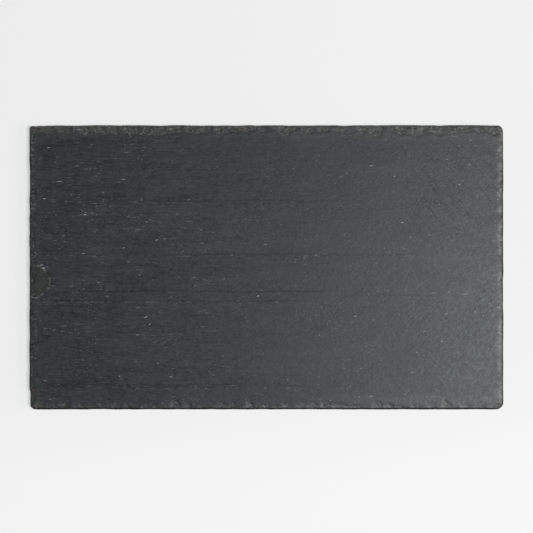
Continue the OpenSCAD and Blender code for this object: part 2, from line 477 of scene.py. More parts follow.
def broken_stone(tree, at):
    """How broken the stone is, its tone with painted sheen on the right, and where it crumbled
    pale.
    """
    crumbled = put(tree, "ease", at.to_rear, 60, 110)
    patchy = put(tree, "MULTIPLY_ADD", grain(tree, at.mm, (4, 4, 3), 3, 50), 1.2, 1.0)
    broken = chain(tree, "MULTIPLY", at.cut, patchy,
                   put(tree, "MULTIPLY_ADD", crumbled, 0.8, 1.0))
    broken = put(tree, "ease", broken, 0.03, 0.42)

    # Strokes run across the long sides, and at the two ends they turn with the edge
    at_ends = put(tree, "ease", put(tree, "ABSOLUTE", at.to_rear),
                  BOARD_W / 2 - 8, BOARD_W / 2 - 11)
    strokes = put(tree, "ShaderNodeMix", {0: at_ends, 2: grain(tree, at.mm, (1.6, 5, 5), 4, 53),
                  3: grain(tree, at.mm, (5, 1.6, 5), 4, 54)})
    patches = put(tree, "ADD", grain(tree, at.mm, (3.2, 2.8, 1.2), 5, 52), strokes)
    crisp = put(tree, "MAXIMUM", put(tree, "ease", at.to_rear, -108, -70, 0.5, 1.0),
                put(tree, "ease", at.along, -140, 0, 0.5, 1.0))
    contrast = put(tree, "MULTIPLY", crisp, put(tree, "MULTIPLY_ADD", crumbled, 0.20, 0.61))

    # Painted sheen: the broken stone is painted paler on the right, in front and at the rear
    front_right = chain(tree, "MULTIPLY", put(tree, "ease", at.to_rear, 40, -100),
                        put(tree, "ease", at.along, -100, 120), 1.7)
    rear_right_sheen = put(tree, "MULTIPLY", crumbled, put(tree, "ease", at.along, -60, 200, 0.0, 0.47))
    # It is also a little darker at the rear of the left end
    rear_left = put(tree, "MULTIPLY", put(tree, "ease", at.along, -188, -194),
                    put(tree, "ease", at.to_rear, 10, 80, -0.03, -0.14))
    mean = chain(tree, "ADD", put(tree, "ease", at.to_rear, -90, 110, 0.68, 1.14),
                 front_right, rear_right_sheen, rear_left)
    crumbs = put(tree, "ease", grain(tree, at.mm, (2.6, 1.8, 1.2), 5, 51), 0.20, 0.60)
    return (broken, put(tree, "MULTIPLY_ADD", patches, contrast, mean),
            chain(tree, "MULTIPLY", crumbs, broken, crisp))


# %% [markdown]
# ## The old scar, stains, wear, and painted light and shade at the edge
#
# A flake once broke out of the left edge and left a round scar with a pale rim. Its outline is
# needed twice, here for its colour and later to sink it into the mesh. Iron in the stone has
# rusted in a few places along the edge. Shade is painted dark along the very rim on every side
# but the rear. Every side but the right is painted paler for some way in: partly wear, partly
# painted light over the shade inside the chips, with painted sheen growing towards the right.
# A warm line down the right side is partly scuffs and partly painted warm side light.

# %% Scar, stains, wear, and painted light and shade at the edge
SCAR_R = 13.5
SCAR_AT = (4.3 - BOARD_L / 2, -11.5)
SCAR_WANDER = 1.6
# Where iron has stained the broken stone: along, to the rear, and how far it spread
STAINS = [(-194.5, 117, 7), (-147, 118, 6), (-127, 117, 8), (-19, 117, 6), (-198, -21, 6),
          (-194, -112, 14)]


def flat_distance(tree, mm, x, y):
    """How far a point lies from x, y, whatever its height."""
    off = put(tree, "ShaderNodeVectorMath", mm, (x, y, 0), operation="SUBTRACT")
    flat = put(tree, "ShaderNodeVectorMath", off, (1, 1, 0), operation="MULTIPLY")
    return put(tree, "ShaderNodeVectorMath", flat, operation="LENGTH").outputs["Value"]


def from_scar(tree, mm):
    """Distance outwards from the uneven rim of the flake scar on the left."""
    wave = grain(tree, mm, (7, 7, 20), detail=3, seed=8)
    wander = put(tree, "MULTIPLY_ADD", wave, SCAR_WANDER, -SCAR_R)
    return put(tree, "ADD", flat_distance(tree, mm, *SCAR_AT), wander)


def scar_marks(tree, at):
    """The floor of the flake scar, and its pale, broken rim."""
    off = from_scar(tree, at.mm)
    breaks = put(tree, "ease", grain(tree, at.mm, (5, 5, 5), 3, 60), -0.45, 0.15)
    return (put(tree, "ease", off, 0.5, -0.8),
            put(tree, "MULTIPLY", near(tree, off, 0.0, 1.1, 0.3), breaks))


def iron_stains(tree, at):
    """Rusty patches in the broken stone of the edge."""
    stained = 0.0
    for x, y, radius in STAINS:
        off = put(tree, "ShaderNodeVectorMath", at.mm, (x, y, FACE_Z),
                  operation="DISTANCE").outputs["Value"]
        stained = put(tree, "MAXIMUM", stained, put(tree, "ease", off, radius, 0.3 * radius))
    return chain(tree, "MULTIPLY", stained, put(tree, "ease", at.inwards, 9, 5),
                 put(tree, "ease", grain(tree, at.mm, (5, 4, 3), 4, 61), -0.45, 0.15))


def scuffs_and_side_light(tree, at):
    """A warm line down the right side: partly scuffs, partly painted warm side light."""
    # Painted light: the warm tint stands where the low side light falls on the right rim
    patchy = put(tree, "ease", grain(tree, at.mm, (9, 9, 9), 3, 62), -0.4, 0.4, 0.6, 1)
    return put(tree, "MULTIPLY", patchy, put(tree, "ease", at.along, 192.6, 196.0))


def painted_rim_shade(tree, at):
    """Painted shade where the stone falls away at the very rim, except at the rear."""
    # Painted shade: a near-black coat on the outermost rim, standing in for the shade of the rim's
    # side
    patchy = put(tree, "ease", grain(tree, at.mm, (1.6, 1.6, 1.0), 3, 64), -0.4, 0.4, 0.8, 1.0)
    return chain(tree, "MULTIPLY", patchy, put(tree, "ease", at.inwards, 2.3, 0.9),
                 put(tree, "ease", at.cut, 4.5, 3.5), put(tree, "ease", at.to_rear, 114, 104),
                 put(tree, "ease", at.along, -198, -190, 0.45, 1.0),
                 put(tree, "ease", at.along, 190, 198, 1.0, 0.7))


def wear_and_painted_light(tree, at):
    """Paler for some way in at the rear, left and front: partly wear, partly painted light."""
    front_right = put(tree, "MULTIPLY", put(tree, "ease", at.to_rear, -98, -108),
                      put(tree, "ease", at.along, -40, 110))
    front_left = put(tree, "MULTIPLY", put(tree, "ease", at.to_rear, -112, -115),
                     put(tree, "ease", at.along, 20, -60, 0, 0.45))
    # Painted light: this also lifts the shade along the chips' inner edges
    worn = chain(tree, "MAXIMUM", put(tree, "ease", at.to_rear, 98, 110), front_right,
                 front_left, put(tree, "ease", at.along, -187, -193, 0, 0.85))
    ragged = put(tree, "MULTIPLY_ADD", grain(tree, at.mm, (12, 9, 9), 4, 63), 5.0, at.inwards)
    # More of it towards the right, as painted sheen
    return chain(tree, "MULTIPLY", worn, put(tree, "ease", ragged, 14, 8.5),
                 put(tree, "ease", at.along, 0, 150, 0.38, 0.56))


# %% [markdown]
# ## Mixing the slate
#
# The split and the broken stone come first, each at its own tone. Everything else is laid over
# them in thin coats, each with a colour and with a limit to how much of it shows. Some coats are
# painted light and shade rather than the stone's own colour. The sheen is the oil's: smooth on
# the face, a little duller where the stone is broken, and none in the painted rim shade. Relief
# too fine for the mesh is left to a bump, whose heights are millimetres too.

# %% Mix the slate
SPLIT_STONE = "2c3034"
BROKEN_STONE = "3b3e3b"
# Each coat, in the order in which it is laid: how much of it shows at most, and its colour
# The edge wear and the warm right line are partly painted light, and the last coat is painted
# shade
COATS = {
    "worn": (1.0, "424441"), "scar_floor": (0.8, "303330"), "stained": (0.30, "5c4a44"),
    "scuffed_and_lit": (0.13, "805c4c"), "crumbs": (0.60, "787b77"), "lips": (0.30, "757a7d"),
    "chips": (0.54, "7f8487"), "specks": (0.40, "8e9294"), "scar_rim": (0.48, "7d807c"),
    "rim_shaded": (0.92, "161717"),
}
# The roughness of the oiled face, and the patterns that vary it
ROUGHNESS = 0.430
UNEVEN_SHEEN = [((3.6, 3.2, 3), 3, 0.060), ((28, 18, 18), 2, 0.013)]


def toned(tree, code, tone):
    """A colour made lighter or darker by a tone, with 1 for the colour as it is."""
    return put(tree, "ShaderNodeVectorMath", {0: colour(code)[:3], "Scale": tone},
               operation="SCALE")


def slate_finish():
    """Cleft slate: a cool dark stone with a soft sheen, paler and matt where it is broken."""
    material, tree = new_material("cleft_slate_oiled")
    at = places(tree)
    ledge_shade, lips = ledge_shade_and_lips(tree, at)
    hatch = hatching(tree, at)
    chips, specks = chips_and_specks(tree, at)
    broken, broken_tone_and_sheen, crumbs = broken_stone(tree, at)
    scar_floor, scar_rim = scar_marks(tree, at)
    rim_shaded = painted_rim_shade(tree, at)
    amounts = {"worn": wear_and_painted_light(tree, at), "scar_floor": scar_floor,
               "stained": iron_stains(tree, at), "scuffed_and_lit": scuffs_and_side_light(tree, at),
               "crumbs": crumbs, "lips": lips, "chips": chips, "specks": specks,
               "scar_rim": scar_rim, "rim_shaded": rim_shaded}

    tone = chain(tree, "ADD", split_tone(tree, at), ledge_shade,
                 put(tree, "MULTIPLY", hatch, HATCH_DARKENS))
    mixed = put(tree, "blend", {0: broken, 6: toned(tree, SPLIT_STONE, tone),
                7: toned(tree, BROKEN_STONE, broken_tone_and_sheen)}).outputs[2]
    for name, (share, code) in COATS.items():
        amount = put(tree, "MULTIPLY", amounts[name], share)
        mixed = put(tree, "blend", {0: amount, 6: mixed, 7: colour(code)}).outputs[2]

    rough = layered(tree, at.mm, UNEVEN_SHEEN, 70, ROUGHNESS)
    rough = put(tree, "MULTIPLY_ADD", broken, 0.02, rough)
    # The painted rim shade is also rougher, and has no sheen
    rough = put(tree, "MULTIPLY_ADD", rim_shaded, 0.35, rough)
    sheen = put(tree, "MULTIPLY_ADD", rim_shaded, -0.50, 0.5)

    # The layers' ripples, two sizes of grit, the hatching and the broken crags
    heights = chain(
        tree, "ADD",
        chain(tree, "MULTIPLY", grain(tree, at.mm, (18, 1.7, 3), 4, 80), at.streaky, 0.030),
        put(tree, "MULTIPLY", grain(tree, at.mm, (2.7, 2.3, 1.6), 3, 81), 0.021),
        put(tree, "MULTIPLY", grain(tree, at.mm, (5.5, 4.5, 3.0), 2, 83), 0.016),
        put(tree, "MULTIPLY", hatch, -0.040),
        chain(tree, "MULTIPLY", broken, grain(tree, at.mm, (2.2, 2.2, 0.6), 6, 82), 0.08))
    bump = put(tree, "ShaderNodeBump", {"Strength": 1.0, "Distance": MM, "Height": heights})
    surface = put(tree, "ShaderNodeBsdfPrincipled", {"Base Color": mixed, "Roughness": rough,
                  "IOR": 1.47, "Specular IOR Level": sheen, "Normal": bump})
    put(tree, "ShaderNodeOutputMaterial", {"Surface": surface})
    return material


slate = slate_finish()
print(f"the slate is mixed from {len(slate.node_tree.nodes)} nodes")

# %% [markdown]
# ## The dressed edge
#
# The maker trims a slate by chopping along its rim, and every blow spalls a shell of stone off
# the upper side. The construction already says where each spall lies, by a rule: every stretch
# of a side holds one, and its place, width, reach and depth are drawn by lot. The same rule is
# repeated here, so that the finer stone follows the construction's own chips.

# %% Draw the spalls
# The greatest reach in from the rim, the greatest depth, and the power that rounds the bowl
SPALL_REACH = 8.5
SPALL_DEPTH = 4.2
SPALL_CURVE = 1.4
# Where a spall may lie in its own stretch of the edge
SPALL_PLACES = (0.15, 0.85)
# Pitch along the edge, half width, reach and depth as shares of the greatest, and a seed
LARGE = (13.0, (6.0, 11.0), (0.6, 1.0), (0.7, 1.0), 100)
SMALL = (7.0, (3.0, 5.5), (0.35, 0.7), (0.45, 0.8), 50000)
# Front, right, rear and left: direction walked, direction outwards, half length, distance out
SIDES = [
    ((1, 0), (0, -1), BOARD_L / 2, BOARD_W / 2),
    ((0, 1), (1, 0), BOARD_W / 2, BOARD_L / 2),
    ((-1, 0), (0, 1), BOARD_L / 2, BOARD_W / 2),
    ((0, -1), (-1, 0), BOARD_W / 2, BOARD_L / 2),
]


def lot(n):
    """A fixed number from 0 to 1 for each whole number, the same as in the construction."""
    x = np.sin(np.radians(n * 78.233 + 12.9898)) * 43758.5453
    return x - np.floor(x)


def between(low_high, n):
    """A number drawn by lot between two others."""
    return low_high[0] + (low_high[1] - low_high[0]) * lot(n)


def draw_spalls():
    """Every spall as (centre x, centre y, side, half width, reach, depth)."""
    spalls = []
    for k, (walk, out, half, far) in enumerate(SIDES):
        for pitch, widths, reaches, depths, seed in (LARGE, SMALL):
            count = round(2 * half / pitch)
            for i in range(count):
                n = seed + 1000 * k + 10 * i
                s = -half + 2 * half / count * (i + between(SPALL_PLACES, n))
                spalls.append((walk[0] * s + out[0] * far, walk[1] * s + out[1] * far, k,
                               between(widths, n + 1), SPALL_REACH * between(reaches, n + 2),
                               SPALL_DEPTH * between(depths, n + 3)))
    return spalls


SPALLS = draw_spalls()
print(f"{len(SPALLS)} spalls round the edge")

# %% [markdown]
# ## Uneven stone from numbers
#
# The edge's finer unevenness needs a smooth random field that NumPy can work out for many
# points at once. Random values sit on a square lattice, and each point takes a smooth mix of
# the four round it. Two or three such fields of different sizes make stone look like stone.

# %% A smooth random field
# Neighbours on the lattice draw lots that lie this far apart
LATTICE_STEPS = (127.0, 311.0)


def field(x, y, size, seed):
    """A smooth field from -1 to 1 over points x, y, with patches of the given size."""
    u, v = x / size, y / size
    i, j = np.floor(u), np.floor(v)
    a, b = u - i, v - j
    a, b = a * a * (3 - 2 * a), b * b * (3 - 2 * b)

    def at(di, dj):
        return lot((i + di) * LATTICE_STEPS[0] + (j + dj) * LATTICE_STEPS[1] + seed)

    low = at(0, 0) * (1 - a) + at(1, 0) * a
    high = at(0, 1) * (1 - a) + at(1, 1) * a
    return 2 * (low * (1 - b) + high * b) - 1


def uneven(start, x, y, fields):
    """Fields added to a starting value. Each has a strength, a size in mm and a seed."""
    for strength, size, seed in fields:
        start = start + strength * field(x, y, size, seed)
    return start


# %% [markdown]
# ## The outline
#
# The stone is laid out as a fine square grid over the whole board, because the face, the chips
# and the underside then join without a seam. Near each corner the rings of the grid are bent
# round the corner's own radius. The four sides then get shallow nicks, which are deepest at the
# rear and on the left, and two sides draw in a little towards their end and take the corner
# with them. The outline only ever moves inwards, so the board keeps its size.

# %% Nicks, bites and sides that draw in
# Depth of the nicks in the front, right, rear and left, and their pitch. The last two depths are
# half the construction's. Stretches whose number is under the share have none.
NICKS = (0.2, 0.2, 0.4, 0.4)
NICK_PITCH = 9.0
UNNICKED_SHARE = 0.4
NICK_SEED = 90000
# Sides that draw in towards their end: how far, over which length, and the curve's power
DRAW_INS = {2: (0.55, 60.0, 2.0), 3: (0.9, 17.0, 0.5)}
# Depth of the smallest bites out of each side's rim, and two sizes and seeds that vary them
BITES = (0.15, 0.05, 0.4, 0.4)
BITE_FIELDS = ((2.6, 950), (11, 960))


def nick(k, s):
    """Depth of the nicks in side k at distance s from its middle, by the construction's rule."""
    half = SIDES[k][2]
    at = (s + half) / NICK_PITCH
    cell = np.floor(at)
    part = (1 - np.cos(np.pi * (at - cell))) / 2
    n = NICK_SEED + 1000 * k + cell
    value = lot(n) * (1 - part) + lot(n + 1) * part
    return NICKS[k] * np.maximum(0, value - UNNICKED_SHARE) / (1 - UNNICKED_SHARE)


def draw_in(k, s):
    """How far side k draws in at distance s from its middle, its end corner with it."""
    far_in, length, power = DRAW_INS.get(k, (0, 1, 1))
    return far_in * np.maximum(0, 1 - (SIDES[k][2] - s) / length) ** power


def bites(s, k):
    """Small bites out of the rim, where single grains of a layer came away."""
    fine, broad = (1 + field(s, k * 50.0, size, seed) for size, seed in BITE_FIELDS)
    return BITES[k] * fine * broad / 4


# %% Round the corners
# Where each corner lies, to the right and to the rear, and its radius
CORNER_RADII = {(1, -1): 6.0, (1, 1): 5.5, (-1, 1): 3.0, (-1, -1): 4.5}


def round_corners(x, y):
    """Grid points bent round the corners, with each one's distance in from the rim."""
    p, q = BOARD_L / 2 - np.abs(x), BOARD_W / 2 - np.abs(y)
    inset = np.minimum(p, q)
    radius = np.zeros_like(x)
    for (sx, sy), r in CORNER_RADII.items():
        radius[(np.where(x >= 0, 1, -1) == sx) & (np.where(y >= 0, 1, -1) == sy)] = r
    r = np.maximum(radius - inset, 0)
    reach = 2 * radius
    t = np.abs(p - q)
    half_path = (reach - r) + math.pi * r / 4
    s = t * half_path / reach
    turn = math.pi / 4 + s / np.maximum(r, 1e-9)
    on_arc = s < math.pi * r / 4
    further = np.where(on_arc, r - r * np.cos(turn), r + s - math.pi * r / 4)
    nearer = np.where(on_arc, r - r * np.sin(turn), 0)
    bent = t < reach
    new_p = np.where(bent, inset + np.where(p > q, further, nearer), p)
    new_q = np.where(bent, inset + np.where(p > q, nearer, further), q)
    return (np.where(x >= 0, 1, -1) * (BOARD_L / 2 - new_p),
            np.where(y >= 0, 1, -1) * (BOARD_W / 2 - new_q), inset)


# %% Lay the grid out
# The grid's step on the face, and the steps that the dressed band round the edge takes
GRID_STEP = 0.60
RIM_STEPS = 30
DRESSED_DEPTH = 10.5
# The nicks fade out over this distance from a corner
CORNER_CLEAR = 6.0


def outline(x, y):
    """Grid points moved to the board's real outline."""
    x, y, inset = round_corners(x, y)
    fade = np.maximum(0, 1 - inset / DRESSED_DEPTH)
    to_side = np.stack([far - (x * out[0] + y * out[1]) for _, out, _, far in SIDES])
    nearest = to_side.argmin(0)
    first, second = np.sort(to_side, 0)[:2]
    clear = np.clip((second - first) / CORNER_CLEAR, 0, 1)
    for k, (walk, out, half, far) in enumerate(SIDES):
        s = np.minimum(walk[0] * x + walk[1] * y, half)
        move = np.where(nearest == k, fade * clear * (nick(k, s) + bites(s, k)), 0)
        move += np.maximum(0, 1 - to_side[k] / DRESSED_DEPTH) * draw_in(k, s)
        x, y = x - out[0] * move, y - out[1] * move
    return x, y, inset


def grid_lines(length):
    """Grid lines across a length: close together near both rims, wider apart between."""
    rim = np.linspace(0, DRESSED_DEPTH, RIM_STEPS, endpoint=False)
    count = 2 * round((length / 2 - DRESSED_DEPTH) / (2 * GRID_STEP))
    from_rim = np.append(rim, np.linspace(DRESSED_DEPTH, length / 2, count + 1))
    return np.append(from_rim - length / 2, (length / 2 - from_rim)[-2::-1])


lines_x, lines_y = grid_lines(BOARD_L), grid_lines(BOARD_W)
nx, ny = len(lines_x) - 1, len(lines_y) - 1
face_x, face_y, face_inset = outline(*np.meshgrid(lines_x, lines_y, indexing="ij"))
print(f"face grid of {nx} x {ny} steps")

# %% [markdown]
# ## Chips that break in layers
#
# A spall in slate is not a smooth bowl. It is shallow, because the rest of the drop falls away
# close to the rim, and it breaks down through the layers like a flight of stairs with broad
# treads. The bowls of the rule are first blurred out of shape a little, and their heights are
# then gathered towards whole layers, whose levels drift along the edge. Beyond the bowls, a
# few long flakes have lifted the topmost layer alone. How much stone is cut away is kept,
# because the finish is paler and duller wherever the stone was broken.

# %% How the chips break
# The thickness of a layer, how far its level drifts, and how strongly the stone keeps to it
LAYER = 0.55
LAYER_DRIFT = ((0.8, 23, 700),)
LAYER_SHARE = 0.38
RISER_SHARE = 0.40
# On the front, right, rear and left: the share of a spall's drop that its shallow bowl takes, its
# reach beside the rule's, and the depth and the reach of the fall at the rim
SHALLOW_SHARES = (0.16, 0.12, 0.22, 0.26)
SIDE_REACH = (1.10, 0.70, 1.25, 1.05)
FALL_DEPTH = (2.7, 2.7, 2.3, 2.3)
FALL_REACH = (1.3, 1.2, 2.4, 2.2)
# Each flake: its side, how far along the side, half its length, its reach in, its depth, and
# the power that sets how square its ends are
FLAKES = [
    (2, 104, 100, 9.2, 0.12, 4),
    (2, -48, 52, 7.6, 0.10, 4),
    (2, -121, 29, 10.0, 0.08, 2),
    (3, 51, 10, 9.2, 0.14, 2),
    (3, -30, 80, 7.0, 0.09, 4),
    (0, -75, 118, 6.0, 0.16, 4),
    (0, 118, 62, 6.4, 0.06, 4),
]
# The share of a flake over which its edge slopes, and how far in from the rim flakes may lie
FLAKE_EDGE = 0.45
FLAKES_END = 16.0
# What makes a flake's reach uneven. The seeds differ on each side.
UNEVEN_REACH = ((0.14, 13, 650), (0.08, 4, 670))
# Fields of unevenness, as strength, size and seed: what bends the bowls out of shape, varies
# the fall at the rim, and roughens the stone wherever it is cut at least this deep
BENT_ALONG = ((0.9, 4.5, 100), (0.45, 1.7, 200))
BENT_ACROSS = ((0.9, 4.5, 300), (0.45, 1.7, 400))
UNEVEN_FALL = ((0.30, 11, 150), (0.15, 4, 160))
FALL_CURVE = 1.2
ROUGH_STONE = ((0.10, 2.4, 500), (0.06, 1.3, 600))
ROUGH_FROM = 0.35

# %% Cut the chips into the grid


def stepped(z, x, y):
    """Heights gathered towards whole layers, leaving a riser between each two."""
    level = uneven(z / LAYER, x, y, LAYER_DRIFT)
    tread = np.floor(level)
    riser = np.clip((level - tread - 0.5) / RISER_SHARE + 0.5, 0, 1)
    gathered = z + LAYER * (tread + riser - level)
    return LAYER_SHARE * gathered + (1 - LAYER_SHARE) * z


def cut_bowls(cut, x, y):
    """The cut deepened by each spall's shallow bowl."""
    for cx, cy, k, width, reach, depth in SPALLS:
        walk, out = SIDES[k][:2]
        u = ((x - cx) * walk[0] + (y - cy) * walk[1]) / width
        v = ((x - cx) * out[0] + (y - cy) * out[1]) / (reach * SIDE_REACH[k])
        q = u * u + v * v
        inside = q < 1
        here = SHALLOW_SHARES[k] * depth * (1 - q[inside]) ** SPALL_CURVE
        cut[inside] = np.maximum(cut[inside], here)
    return cut


def cut_flakes(cut, x, y):
    """The cut deepened by the long, thin flakes."""
    for k, middle, half, reach, depth, power in FLAKES:
        walk, out, _, far = SIDES[k]
        s = x * walk[0] + y * walk[1]
        v = (far - x * out[0] - y * out[1]) / reach
        own = [(strength, size, seed + k) for strength, size, seed in UNEVEN_REACH]
        reach_here = uneven(1, s, v, own)
        q = np.abs((s - middle) / half) ** power + (v * reach_here) ** 2
        cut = np.maximum(cut, depth * np.clip((1 - q) / FLAKE_EDGE, 0, 1))
    return cut


def dress(x, y, inset):
    """Height of the stone above its underside before the cleavage relief, and what was cut."""
    z, gone = np.full(x.shape, SLAB_T), np.zeros(x.shape)
    edge = inset < FLAKES_END
    ex, ey = x[edge], y[edge]
    nearest = np.stack([far - (ex * out[0] + ey * out[1]) for _, out, _, far in SIDES]).argmin(0)
    varied = uneven(1, ex, ey, UNEVEN_FALL)
    fall = 1 - inset[edge] / (np.array(FALL_REACH)[nearest] * varied)
    cut = np.array(FALL_DEPTH)[nearest] * varied * np.maximum(0, fall) ** FALL_CURVE
    bent = uneven(ex, ex, ey, BENT_ALONG), uneven(ey, ex, ey, BENT_ACROSS)
    cut = np.maximum(cut_flakes(cut_bowls(cut, *bent), *bent), 0)
    rough = uneven(0, ex, ey, ROUGH_STONE) * np.clip(cut / ROUGH_FROM, 0, 1)
    chipped = stepped(SLAB_T - cut, ex, ey) + rough
    z[edge] = np.where(cut > 0, np.minimum(chipped, SLAB_T), SLAB_T)
    gone[edge] = cut
    return z, gone


face_z, face_cut = dress(face_x, face_y, face_inset)
print(f"the rim stands {face_z[:, 0].min():.1f} to {face_z[:, 0].max():.1f} mm high")

# %% [markdown]
# ## The rim and the underside
#
# Below the chips the rim stays nearly upright and shows the stone's layers edge on, as fine
# level lines. Rows of points go down it, and every layer steps in by its own small amount. The
# underside is split stone like the face, but it is seldom seen, so its grid is four times
# coarser. Each of its border cells simply takes in the finer rim points.

# %% Rows of points down the rim
RIM_ROWS = 14
# How far a layer may be set back, and the fields that its level and its own amount vary by
LAYER_SET_BACK = 0.42
RIM_DRIFT = ((0.5, 30, 800),)
SET_BACKS = ((0.5, 6.5, 900),)
# What tells one layer's amounts from the next layer's
LAYER_STEPS = (31, 17.0)


def border(count_x, count_y):
    """Grid indices round the border, counter-clockwise from the front left corner."""
    return ([(i, 0) for i in range(count_x)] + [(count_x, j) for j in range(count_y)]
            + [(i, count_y) for i in range(count_x, 0, -1)]
            + [(0, j) for j in range(count_y, 0, -1)])


def rim_rows(ring_x, ring_y, ring_z):
    """Rows of points down the rim, each layer set back by its own amount."""
    dx = np.roll(ring_x, -1) - np.roll(ring_x, 1)
    dy = np.roll(ring_y, -1) - np.roll(ring_y, 1)
    size = np.hypot(dx, dy)
    in_x, in_y = -dy / size, dx / size
    walked = np.cumsum(size) / 2
    rows = []
    for row in range(1, RIM_ROWS + 1):
        z = ring_z * (1 - row / RIM_ROWS)
        layer = np.floor(uneven(z / LAYER, walked, z, RIM_DRIFT))
        back = uneven(0.5, walked + LAYER_STEPS[0] * layer, layer * LAYER_STEPS[1], SET_BACKS)
        back = LAYER_SET_BACK * back * min(1.0, row / 2)
        rows.append(np.stack([ring_x + in_x * back, ring_y + in_y * back, z], -1))
    return rows


# %% Close the slab
# The underside's cells are this many times wider, and the face's steps divide by it
COARSER = 4
# The rim counts as cut this deep, which makes it broken stone all the way down
RIM_CUT = 9.0


def underside_faces(rim_foot, first):
    """Coarse faces under the slab. The first of their inner points has the given number."""
    cx, cy = nx // COARSER, ny // COARSER
    under = {(i * COARSER, j * COARSER): first + (i - 1) * (cy - 1) + j - 1
             for i in range(1, cx) for j in range(1, cy)}
    under.update(rim_foot)
    faces = []
    for i in range(0, nx, COARSER):
        for j in range(0, ny, COARSER):
            walk = ([(i + s, j) for s in range(COARSER)]
                    + [(i + COARSER, j + s) for s in range(COARSER)]
                    + [(i + COARSER - s, j + COARSER) for s in range(COARSER)]
                    + [(i, j + COARSER - s) for s in range(COARSER)])
            faces.append([under[place] for place in reversed(walk) if place in under])
    return faces


def build_blank():
    """Points, faces, cut depths and distances in from the rim of the closed slab, in mm."""
    points = [np.stack([face_x, face_y, face_z], -1).reshape(-1, 3)]
    index = np.arange((nx + 1) * (ny + 1)).reshape(nx + 1, ny + 1)
    quads = np.stack([index[:-1, :-1], index[1:, :-1], index[1:, 1:], index[:-1, 1:]], -1)
    faces = quads.reshape(-1, 4).tolist()
    ring = border(nx, ny)
    upper = np.array([index[i, j] for i, j in ring])
    total = len(points[0])
    for row in rim_rows(*points[0][upper].T):
        lower = total + np.arange(len(ring))
        points.append(row)
        total += len(row)
        faces += np.stack([upper, lower, np.roll(lower, -1), np.roll(upper, -1)], -1).tolist()
        upper = lower
    faces += underside_faces({place: int(n) for place, n in zip(ring, upper)}, total)
    coarse = np.stack([face_x, face_y, np.zeros_like(face_x)], -1)[::COARSER, ::COARSER]
    points.append(coarse[1:-1, 1:-1].reshape(-1, 3))
    points = np.concatenate(points)

    cuts = np.zeros(len(points), np.float32)
    cuts[:face_cut.size] = face_cut.ravel()
    cuts[face_cut.size:face_cut.size + (RIM_ROWS - 1) * len(ring)] = RIM_CUT
    under_inset = face_inset[::COARSER, ::COARSER][1:-1, 1:-1].ravel()
    insets = np.zeros(len(points), np.float32)
    insets[:face_inset.size] = face_inset.ravel()
    insets[-len(under_inset):] = under_inset
    return points, faces, cuts, insets


def mesh_from(name, points_mm, faces):
    """A mesh on the finished board from points in millimetres above the underside."""
    mesh = bpy.data.meshes.new(name)
    placed = (points_mm + np.array([0, 0, BASE_Z])) * MM
    mesh.from_pydata(placed.tolist(), [], faces)
    mesh.update()
    return mesh


blank_points, blank_faces, blank_cuts, blank_insets = build_blank()
blank = bpy.data.objects.new("slate_blank", mesh_from("slate_blank", blank_points, blank_faces))
for name, values in (("chip_depth", blank_cuts), ("rim_distance", blank_insets)):
    blank.data.attributes.new(name, "FLOAT", "POINT").data.foreach_set("value", values)
bpy.context.scene.collection.objects.link(blank)
print(f"blank slab: {len(blank_points)} points, {len(blank_faces)} faces")

# %% [markdown]
# ## The split faces, with Geometry Nodes
#
# The face and the underside follow one rule: layers that end in contour-like steps, low waves
# and fine ripples, all longer along the board than across it. A Geometry Nodes tree applies
# that rule to the blank, so its heights can be changed as named inputs. It also cuts the
# ledges and the scar. The waves fade through the thickness of the stone, which leaves the
# other face alone, and the underside stays flat where the feet are glued on.

# %% Start a tree, and apply it


def new_tree(name, numbers):
    """A Geometry Nodes tree with named number inputs. Returns it with its input node."""
    tree = bpy.data.node_groups.new(name, "GeometryNodeTree")
    sockets = tree.interface
    sockets.new_socket("Geometry", in_out="OUTPUT", socket_type="NodeSocketGeometry")
    sockets.new_socket("Geometry", in_out="INPUT", socket_type="NodeSocketGeometry")
    for label in numbers:
        sockets.new_socket(label, in_out="INPUT", socket_type="NodeSocketFloat")
    sockets.new_socket("Material", in_out="INPUT", socket_type="NodeSocketMaterial")
    return tree, put(tree, "NodeGroupInput")


def apply_tree(piece, tree, values):
    """Add the tree to a piece, and set its inputs by the identifier of each socket."""
    modifier = piece.modifiers.new(tree.name, "NODES")
    modifier.node_group = tree
    for item in tree.interface.items_tree:
        if item.in_out == "INPUT" and item.name in values:
            modifier[item.identifier] = values[item.name]


# %% Height of a split face
# The sizes of the low waves and of the fine ripples on a split face
WAVE_SIZE = (75, 30, 900)
RIPPLE_SIZE = (24, 3.4, 900)
# A thin layer's edge climbs over this part of the layer
LAYER_CLIMB = (0.42, 0.58)


def relief(tree, mm, streaky, given, seed):
    """Depth below the highest point of a split face."""
    waves = put(tree, "MULTIPLY", grain(tree, mm, WAVE_SIZE, 2, seed),
                given.outputs["Wave height"])
    ripples = put(tree, "MULTIPLY", grain(tree, mm, RIPPLE_SIZE, 3, seed + 1),
                  put(tree, "MULTIPLY", streaky, given.outputs["Ripple height"]))
    number, through = thin_layers(tree, mm, seed)
    climbed = put(tree, "ADD", number, put(tree, "ease", through, *LAYER_CLIMB))
    steps = chain(tree, "MULTIPLY", climbed, streaky, given.outputs["Layer height"])
    depth = chain(tree, "ADD", waves, ripples, steps, given.outputs["Depth"])
    return put(tree, "MAXIMUM", depth, given.outputs["Least depth"])


def with_ledges(tree, along, across, top):
    """The face's depth, with each ledge's drop and the slow climb back behind it."""
    for y, start, end, drop, _ in LEDGES:
        behind, present = ledge(tree, along, across, y, start, end)
        fallen = put(tree, "ease", behind, -STEP_WIDTH / 2, STEP_WIDTH / 2)
        kept = put(tree, "ease", behind, 1.0, CLIMB_BACK, 1.0, 0.0)
        amount = chain(tree, "MULTIPLY", fallen, kept, present)
        top = put(tree, "MULTIPLY_ADD", amount, drop, top)
    return top


